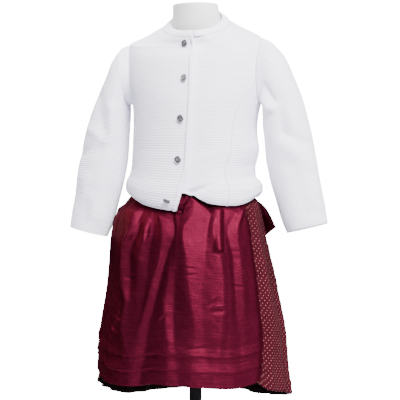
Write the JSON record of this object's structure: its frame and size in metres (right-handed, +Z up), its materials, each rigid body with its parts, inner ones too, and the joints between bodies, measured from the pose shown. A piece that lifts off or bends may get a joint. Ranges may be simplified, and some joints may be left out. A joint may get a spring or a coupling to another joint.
{
  "type": "child's dirndl with knitted cardigan on a dress form",
  "caption": "Child's dirndl: patterned gathered skirt, taffeta apron tied in a bow and a fastened ridged knit cardigan, worn by a limbless dress form on a round stand.",
  "frame": {"origin": "centre of the underside of the stand's base, on the floor", "axes": "+Z up, the front of the garment faces -Y, the wearer's left is +X"},
  "size_m": [0.4825, 0.325, 1.0416],
  "materials": {
    "knit": "white cotton knit in fine horizontal ridges",
    "skirt_cotton": "dark red cotton with a small woven repeat of dots in gold",
    "apron_taffeta": "wine red slubbed taffeta with a soft sheen",
    "form_shell": "off-white satin shell",
    "stand_steel": "black powder coat",
    "button_metal": "dark antiqued metal with a worn rim"
  },
  "bodies": {
    "root": {"form_torso": "form_shell", "form_pole": "stand_steel", "form_base": "stand_steel", "bodice_front": "skirt_cotton", "bodice_back": "skirt_cotton", "bodice_strap_right": "skirt_cotton", "bodice_strap_left": "skirt_cotton", "skirt_front": "skirt_cotton", "skirt_back": "skirt_cotton", "apron_panel": "apron_taffeta", "apron_waistband": "apron_taffeta", "apron_tie_left": "apron_taffeta", "apron_tie_right": "apron_taffeta", "bow_knot": "apron_taffeta", "bow_loop_left": "apron_taffeta", "bow_loop_right": "apron_taffeta", "bow_tail_left": "apron_taffeta", "bow_tail_right": "apron_taffeta", "cardigan_front_right": "knit", "cardigan_front_left": "knit", "cardigan_side_front_right": "knit", "cardigan_side_front_left": "knit", "cardigan_back": "knit", "cardigan_front_trim": "knit", "cardigan_neckband": "knit", "cardigan_sleeve_right": "knit", "cardigan_sleeve_left": "knit", "button_1": "button_metal", "button_2": "button_metal", "button_3": "button_metal", "button_4": "button_metal", "button_5": "button_metal"}
  },
  "joints": []
}
